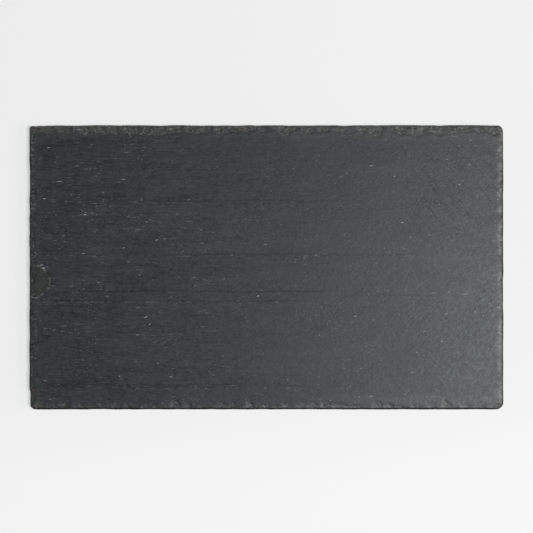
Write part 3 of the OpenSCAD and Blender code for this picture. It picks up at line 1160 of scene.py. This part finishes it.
# %% Tree that cleaves the blank
# The scar's wall is this wide to either side of its rim. The stone is flat on a foot, and
# uneven again from the second of these distances on.
SCAR_WALL = 0.35
FLAT_ROUND_FOOT = (8, 16)


def away_from_feet(tree, mm):
    """0 where a foot is glued on, and 1 away from them."""
    # The feet lie at equal distances from the middle, so one corner stands for all four
    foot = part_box("foot_front_right")
    foot_mid = (foot[0] + foot[1]) / (2 * MM)
    folded = put(tree, "ShaderNodeVectorMath", mm, operation="ABSOLUTE")
    return put(tree, "ease", flat_distance(tree, folded, foot_mid.x, -foot_mid.y),
               *FLAT_ROUND_FOOT)


def cleft_tree(numbers):
    """Gives a blank slab its split faces. Heights are in millimetres."""
    tree, given = new_tree("cleave_the_faces", numbers)
    mm = in_mm(tree, put(tree, "GeometryNodeInputPosition"))
    along, across = wandering(tree, mm)
    streaky = streakiness(tree, along)

    top = with_ledges(tree, along, across, relief(tree, mm, streaky, given, FACE_SEED))
    scarred = put(tree, "ease", from_scar(tree, mm), -SCAR_WALL, SCAR_WALL, 1.0, 0.0)
    top = put(tree, "MULTIPLY_ADD", scarred, given.outputs["Scar depth"], top)
    under = put(tree, "MULTIPLY", relief(tree, mm, streaky, given, UNDER_SEED),
                away_from_feet(tree, mm))

    # The face is lowered and the underside raised, and neither of them moves the other
    height = put(tree, "ShaderNodeSeparateXYZ", mm).outputs["Z"]
    up = put(tree, "ease", height, BASE_Z, BASE_Z + SLAB_T)
    raised = put(tree, "MULTIPLY", under, put(tree, "SUBTRACT", 1.0, up))
    lowered = put(tree, "MULTIPLY", top, up)
    shift = put(tree, "MULTIPLY", put(tree, "SUBTRACT", raised, lowered), MM)
    moved = put(tree, "GeometryNodeSetPosition", {"Geometry": given.outputs["Geometry"],
                "Offset": put(tree, "ShaderNodeCombineXYZ", {"Z": shift})})
    whole = put(tree, "GeometryNodeRealizeInstances", moved)
    dressed = put(tree, "GeometryNodeSetMaterial", {"Geometry": whole,
                  "Material": given.outputs["Material"]})
    put(tree, "NodeGroupOutput", dressed)
    return tree


# %% [markdown]
# ## Keeping only the triangles that matter
#
# The fine grid was needed to carve crisp steps, but most of it is now nearly flat. Blender's
# Decimate modifier folds away the edges whose loss changes the surface least. The flat face
# ends up with large triangles and the chips keep small ones, at a quarter of the count.

# %% Cleave the slab
CLEFT = {"Depth": 0.24, "Least depth": 0.08, "Wave height": 0.09, "Ripple height": 0.03,
         "Layer height": 0.030, "Scar depth": 0.45}
# The share of the triangles that stays, and the angle from which an edge counts as sharp
KEPT_SHARE = 0.25
CREASE = math.radians(38)


def bake(piece, name):
    """The evaluated shape of a piece as a plain mesh object of its own."""
    evaluated = piece.evaluated_get(bpy.context.evaluated_depsgraph_get())
    mesh = bpy.data.meshes.new_from_object(evaluated)
    mesh.name = name
    made = bpy.data.objects.new(name, mesh)
    bpy.context.scene.collection.objects.link(made)
    bpy.data.objects.remove(piece)
    return made


apply_tree(blank, cleft_tree(CLEFT), {**CLEFT, "Material": slate})
folding = blank.modifiers.new("fold_flat_edges", "DECIMATE")
folding.ratio = KEPT_SHARE
folding.use_collapse_triangulate = True
slab = bake(blank, "dressed_slate_slab")
slab.data.shade_smooth()
slab.data.set_sharp_from_angle(angle=CREASE)
print(f"slab: {len(slab.data.polygons)} faces")

# %% [markdown]
# ## Pale flecks on the face
#
# The face is sprinkled with pale specks: slivers of a layer that lifted and crushed when the
# stone was split. Those that stand out are listed one by one, and the finer ones are sown by
# Geometry Nodes, thicker on the left. Each is a tiny flattened grain, longer along the board,
# sunk halfway into the face. A grain is repeated hundreds of times, so it has only 20 faces.

# %% Where the marked flecks lie
# Each fleck: pixel across, pixel down, length in pixels, and how pale it is
MARKED_FLECKS = [
    (45, 199, 3.5, 0.9), (53, 200, 8, 0.3), (49, 148, 3.5, 0.8), (92, 145, 3.5, 0.6),
    (78, 143, 5, 0.4), (60, 181.7, 7.5, 0.6), (59, 178, 4, 0.2), (124, 179.5, 5, 0.7),
    (104, 200, 2, 0.9), (142, 200, 2, 0.9), (189, 200, 2.5, 0.8), (80.5, 202, 3, 0.4),
    (86, 212.5, 2, 0.8), (85.5, 215, 3, 1.0), (81, 215, 7, 0.4), (74, 217, 4, 0.3),
    (89, 222, 3, 0.3), (134, 217.5, 6, 0.3), (147, 222, 3.5, 0.5), (84, 253.5, 3.5, 0.9),
    (94, 257, 5, 0.2), (157, 240, 3, 0.8), (165, 239, 3, 0.8), (124, 248, 3.5, 0.7),
    (122, 255, 2, 0.4), (88, 247, 3.5, 0.4), (144, 155.5, 2, 0.5), (123, 159, 4, 0.2),
    (108, 165, 5, 0.2), (192, 228, 2, 0.4), (201, 230, 4, 0.5), (371, 166, 4, 0.8),
    (394, 176.5, 2, 0.8), (397, 180, 2, 0.6), (459, 185, 3, 0.8), (402, 222.5, 3, 0.9),
    (275, 143, 3, 0.4), (306, 184, 3.5, 0.3), (335, 184, 3, 0.3), (271, 191, 1.5, 0.7),
    (223, 176, 2, 0.3), (344, 234, 2, 0.5), (337, 168, 3, 0.2), (172, 206, 3, 0.2),
    (80, 195, 4, 0.2), (42, 265, 3, 1.0), (44.5, 268, 3.5, 1.0), (48, 267, 2.5, 0.7),
    (155, 263, 3.5, 0.4), (107, 264, 3, 0.3), (144, 270, 3, 0.2), (127, 274, 4, 0.2),
    (72.5, 286, 2.5, 0.7), (48, 288, 2.5, 0.6), (43.5, 294, 5, 0.5), (76, 293, 2.5, 0.4),
    (50, 302, 2, 0.4), (108, 296, 3.5, 0.7), (109, 301.5, 3, 0.4), (148, 302, 3, 0.4),
    (131, 310, 3, 0.2), (175, 310, 1.5, 0.6), (146, 317, 4, 0.9), (150, 324, 2.5, 0.9),
    (145, 325, 3, 0.4), (162, 324, 3, 0.5), (79, 333, 2, 0.8), (96, 336.5, 2, 0.5),
    (96, 343, 1.5, 0.8), (125, 350, 3, 0.3), (119, 349.5, 3, 0.2), (136, 361, 6, 0.4),
    (148, 362, 4, 0.2), (158, 363, 2.2, 1.0), (173, 368, 3.5, 0.5), (191, 372, 3, 0.3),
    (120, 376, 1.8, 1.0), (121, 379, 4, 0.4), (101, 377, 4, 0.3), (164, 382.5, 3, 0.4),
    (203, 382, 3, 0.4), (198, 401, 2, 0.5), (145, 386, 3, 0.4), (88, 303, 5, 0.2),
    (232, 255, 2, 0.7), (290, 248, 2, 0.5), (304, 258, 2.5, 0.8), (295, 262, 2, 0.6),
    (376, 263, 2, 0.7), (384, 248, 1.5, 0.7), (262, 272, 2, 0.5), (295, 286, 2, 0.5),
    (277, 289, 2.5, 0.5), (258, 296, 3.5, 0.9), (368, 294, 2, 0.6), (238, 301, 3, 0.5),
    (243, 301, 2.5, 0.3), (238, 309, 3, 0.3), (246, 317, 2, 0.8), (248, 321, 1.5, 0.6),
    (248, 327, 2, 0.4), (249, 333, 2, 0.5), (268, 337, 3, 0.3), (264, 337, 1.5, 0.4),
    (322, 307, 4, 0.4), (355, 316, 4, 0.7), (319, 315, 1.5, 0.5), (373, 320, 2, 0.6),
    (434, 311, 2, 0.7), (446, 314, 3, 0.9), (448, 292, 3.5, 0.7), (319, 335, 1.8, 1.0),
    (335, 349, 1.8, 1.0), (248, 349, 2.5, 0.4), (441, 341, 3, 0.7), (416, 352, 2, 1.0),
    (424, 331, 2, 0.7), (305, 353, 4, 0.3), (288, 379.5, 1.8, 1.0), (275, 378, 5, 0.3),
    (319, 376, 2, 0.5), (318, 384, 3, 0.4), (412, 372, 4, 0.6), (453, 376, 3, 0.6),
    (257, 393, 5, 0.4), (371, 396, 3.5, 0.9), (405, 394, 4, 0.5), (434, 396, 4, 0.5),
    (464, 294, 5, 0.6), (432, 293, 7, 0.4), (497, 193, 2, 0.7), (497, 199.5, 2.5, 0.7),
    (496.5, 179, 2, 0.6), (497.5, 301.5, 3, 0.6), (498, 284, 2.5, 0.6), (498, 375, 2, 0.6),
    (483, 402.5, 2.5, 0.6), (475, 403, 2, 0.6), (428, 406, 2, 0.6), (328.5, 405, 2, 0.6),
    (231.5, 406, 2.5, 0.5), (100, 129.5, 5, 0.5), (116, 134, 3, 0.5), (141, 134, 3, 0.5),
    (87, 130, 2.5, 0.7), (36, 139, 2.5, 0.4), (35, 143, 2, 0.6),
]


def surface_of(piece):
    """A search tree over a piece, to find the stone's height anywhere."""
    mesh = piece.data
    mesh.calc_loop_triangles()
    points = [v.co for v in mesh.vertices]
    return BVHTree.FromPolygons(points, [t.vertices for t in mesh.loop_triangles])


stone = surface_of(slab)


def marks_on_face(marks):
    """The marked flecks as loose points on the stone, with the length and paleness of each."""
    above, down = 1.0, Vector((0, 0, -1))
    points, lengths, palenesses = [], [], []
    for px, py, length, paleness in marks:
        x, y = to_board(px, py)
        points.append(stone.ray_cast(Vector((x * MM, y * MM, above)), down)[0])
        lengths.append(length * mm_per_px)
        palenesses.append(paleness)
    return points, lengths, palenesses


mark_points, mark_lengths, mark_palenesses = marks_on_face(MARKED_FLECKS)
print(f"{len(mark_points)} flecks are placed by eye")

# %% Points for the sown flecks
FLECKS = {"Flecks in a square metre": 11000.0, "Length": 2.0, "Width": 0.45, "Height": 0.12,
          "Seed": 5.0}
# Stone that lies this far under the face is too deep in a chip to hold a fleck
FACE_DEPTH = 1.0
# The lots drawn for a length, the power that makes most of them short, and the palest one sown
LENGTH_LOTS = (0.35, 1.5)
MOSTLY_SHORT = 1.6
PALEST_SOWN = 0.6


def drawn(tree, low, high, seed):
    """A number that Geometry Nodes draws for each point."""
    return put(tree, "FunctionNodeRandomValue", {2: low, 3: high, "Seed": seed})


def sown_points(tree, given, mm):
    """Points in clusters, thicker on the left, each with its own length and paleness."""
    parts = put(tree, "ShaderNodeSeparateXYZ", mm)
    clusters = put(tree, "ease", grain(tree, mm, (30, 14, 30), 3, 300), -0.1, 0.5, 0.06, 1.0)
    leftness = put(tree, "ease", parts.outputs["X"], -150, 0, 0.9, 0.45)
    share = put(tree, "MULTIPLY", clusters, leftness)
    points = put(tree, "GeometryNodeDistributePointsOnFaces", {
        "Mesh": given.outputs["Geometry"],
        "Selection": put(tree, "FunctionNodeCompare", parts.outputs["Z"], FACE_Z - FACE_DEPTH),
        "Seed": put(tree, "FunctionNodeFloatToInt", given.outputs["Seed"]),
        "Density": put(tree, "MULTIPLY", share, given.outputs["Flecks in a square metre"])})
    length = put(tree, "MULTIPLY", put(tree, "POWER", drawn(tree, *LENGTH_LOTS, 1), MOSTLY_SHORT),
                 given.outputs["Length"])
    paleness = drawn(tree, 0.0, PALEST_SOWN, 4)
    for name, value in (("fleck_length", length), ("fleck_paleness", paleness)):
        points = put(tree, "GeometryNodeStoreNamedAttribute",
                     {"Geometry": points, "Name": name, "Value": value})
    return points


# %% Tree that lays grains on a stone
# A grain's width: the lots drawn for it, how it grows with the length, and where that ends
WIDTH_LOTS = (0.7, 1.3)
WIDER_BY, WIDTH_FROM, WIDEST = 0.35, 0.6, 1.6
# The furthest turn off the grain's direction, in radians, which long grains take less of
TURN = 0.5
# How ragged the grains are: the size of the noise, and how far it pushes, along and across
RAGGED_SCALE = 1.4
RAGGED_PUSH = (1.1 * MM, 0.6 * MM, 0)


def grains_on(tree, given, points, length):
    """A flattened ball on each point. Longer ones are a little wider too, and no two are alike."""
    ball = put(tree, "GeometryNodeMeshIcoSphere", {"Radius": MM / 2, "Subdivisions": 1})
    wider = put(tree, "MINIMUM", put(tree, "MULTIPLY_ADD", length, WIDER_BY, WIDTH_FROM), WIDEST)
    width = chain(tree, "MULTIPLY", drawn(tree, *WIDTH_LOTS, 2), wider, given.outputs["Width"])
    scale = put(tree, "ShaderNodeCombineXYZ", length, width, given.outputs["Height"])
    turn = put(tree, "DIVIDE", drawn(tree, -TURN, TURN, 3), put(tree, "MAXIMUM", length, 1.0))
    laid = put(tree, "GeometryNodeInstanceOnPoints", {"Points": points, "Instance": ball,
               "Rotation": put(tree, "ShaderNodeCombineXYZ", {"Z": turn}), "Scale": scale})
    return put(tree, "GeometryNodeRealizeInstances", laid)


def grains_tree(numbers):
    """Sows grains on the face of a slab and on the marked points of the same mesh."""
    tree, given = new_tree("sow_pale_flecks", numbers)
    mm = in_mm(tree, put(tree, "GeometryNodeInputPosition"))
    length = put(tree, "GeometryNodeInputNamedAttribute", {"Name": "fleck_length"},
                 data_type="FLOAT")
    # Only the marked points have a length before the sown ones get theirs
    marked = put(tree, "GeometryNodeMeshToPoints", {"Mesh": given.outputs["Geometry"],
                 "Selection": put(tree, "FunctionNodeCompare", length, 0.001)})
    points = tree.nodes.new("GeometryNodeJoinGeometry")
    tree.links.new(marked.outputs[0], points.inputs[0])
    tree.links.new(sown_points(tree, given, mm).outputs[0], points.inputs[0])

    whole = grains_on(tree, given, points, length)
    ragged = put(tree, "ShaderNodeTexNoise", {"Vector": mm, "Scale": RAGGED_SCALE, "Detail": 2.0})
    push = put(tree, "ShaderNodeVectorMath", ragged.outputs["Color"], (0.5, 0.5, 0.5),
               operation="SUBTRACT")
    push = put(tree, "ShaderNodeVectorMath", push, RAGGED_PUSH, operation="MULTIPLY")
    broken = put(tree, "GeometryNodeSetPosition", {"Geometry": whole, "Offset": push})
    dressed = put(tree, "GeometryNodeSetMaterial", {"Geometry": broken,
                  "Material": given.outputs["Material"]})
    put(tree, "NodeGroupOutput", dressed)
    return tree


# %% [markdown]
# ## Crushed slate
#
# Slate is dark because it is dense. Where it is crushed to a powder, light scatters out of it,
# and the same stone turns a pale, dead-matt grey. The flecks therefore share one dusty finish,
# and each grain carries its own number for how finely it was crushed, and so how pale it is.
# Towards the right the grains are painted paler, as painted light to match the face's sheen.

# %% Mix the crushed slate


def crushed_finish():
    """Crushed slate: pale grey powder, without any sheen."""
    material, tree = new_material("crushed_slate_powder")
    mm = position_mm(tree)
    fineness = put(tree, "ShaderNodeAttribute", attribute_name="fleck_paleness").outputs["Fac"]
    along = put(tree, "ShaderNodeSeparateXYZ", mm).outputs["X"]
    # Paler towards the right: painted light that keeps pace with the face's sheen there
    paler_and_lit = put(tree, "ADD", fineness, put(tree, "ease", along, -60, 150, 0.0, 0.22))
    paler_and_lit = put(tree, "MULTIPLY_ADD", grain(tree, mm, (4, 4, 4), 2, 90), 0.1, paler_and_lit)
    shade = put(tree, "blend", {0: put(tree, "POWER", paler_and_lit, 2.0), 6: colour("44484b"),
                7: colour("b0b3b3")}).outputs[2]
    dust = put(tree, "MULTIPLY", grain(tree, mm, (0.4, 0.4, 0.4), 2, 91), 0.02)
    bump = put(tree, "ShaderNodeBump", {"Strength": 1.0, "Distance": MM, "Height": dust})
    surface = put(tree, "ShaderNodeBsdfPrincipled", {"Base Color": shade, "Roughness": 0.9,
                  "IOR": 1.5, "Normal": bump})
    put(tree, "ShaderNodeOutputMaterial", {"Surface": surface})
    return material


crushed = crushed_finish()
print(f"the crushed slate is mixed from {len(crushed.node_tree.nodes)} nodes")

# %% Sow the flecks


def sow_flecks():
    """The pale flecks as one plain mesh."""
    mesh = slab.data.copy()
    first = len(mesh.vertices)
    mesh.vertices.add(len(mark_points))
    for n, point in enumerate(mark_points, first):
        mesh.vertices[n].co = point
    for name, numbers in (("fleck_length", mark_lengths), ("fleck_paleness", mark_palenesses)):
        values = np.zeros(len(mesh.vertices), np.float32)
        values[first:] = numbers
        mesh.attributes.new(name, "FLOAT", "POINT").data.foreach_set("value", values)
    bed = bpy.data.objects.new("fleck_bed", mesh)
    bpy.context.scene.collection.objects.link(bed)
    apply_tree(bed, grains_tree(FLECKS), {**FLECKS, "Material": crushed})
    return bake(bed, "pale_cleavage_flecks")


flecks = sow_flecks()
print(f"flecks: {len(flecks.data.polygons)} faces")

# %% [markdown]
# ## Rubber feet and their adhesive
#
# The feet are moulded from black rubber, with the fine satin texture of a spark-eroded mould
# and a little dust. Their shape is right as it was constructed, so only the finish is new. The
# adhesive disc is a milky acrylic film.

# %% Finish the feet and the adhesive


def rubber_finish():
    """Moulded black rubber: nearly black, satin, faintly dusty."""
    material, tree = new_material("moulded_black_rubber")
    mm = position_mm(tree)
    dust = put(tree, "ease", grain(tree, mm, (3, 3, 3), 4, 110), -0.1, 0.7)
    shade = put(tree, "blend", {0: put(tree, "MULTIPLY", dust, 0.5), 6: colour("1a1a1b"),
                7: colour("2e2d2b")}).outputs[2]
    rough = put(tree, "MULTIPLY_ADD", dust, 0.2, 0.55)
    texture = put(tree, "MULTIPLY", grain(tree, mm, (0.25, 0.25, 0.25), 2, 111), 0.012)
    bump = put(tree, "ShaderNodeBump", {"Strength": 1.0, "Distance": MM, "Height": texture})
    surface = put(tree, "ShaderNodeBsdfPrincipled", {"Base Color": shade, "Roughness": rough,
                  "IOR": 1.52, "Normal": bump})
    put(tree, "ShaderNodeOutputMaterial", {"Surface": surface})
    return material


def adhesive_finish():
    """Acrylic adhesive film: milky, slightly glossy, with a few trapped bubbles."""
    material, tree = new_material("milky_acrylic_adhesive")
    mm = position_mm(tree)
    bubbles = put(tree, "ease", grain(tree, mm, (0.9, 0.9, 0.9), 1, 120), 0.35, 0.6)
    shade = put(tree, "blend", {0: put(tree, "MULTIPLY", bubbles, 0.5), 6: colour("d6d2c6"),
                7: colour("f0eee6")}).outputs[2]
    surface = put(tree, "ShaderNodeBsdfPrincipled", {"Base Color": shade, "Roughness": 0.35,
                  "IOR": 1.47})
    put(tree, "ShaderNodeOutputMaterial", {"Surface": surface})
    return material


rubber = rubber_finish()
adhesive = adhesive_finish()
finishes = {"slate": slate, "foot": rubber, "adhesive": adhesive}
for name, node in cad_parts.items():
    node.data.materials.clear()
    node.data.materials.append(finishes[name.split("_")[0]])
print("finished", sorted(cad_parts))

# %% [markdown]
# ## Putting the board together
#
# The dressed slab and its flecks ride on the board's one body, and the slab stands for the
# plain slab of the construction.

# %% Join the pieces to the frame
for piece in (slab, flecks):
    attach(piece, "root")
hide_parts("slate_slab")

bpy.context.scene.view_settings.view_transform = "Standard"
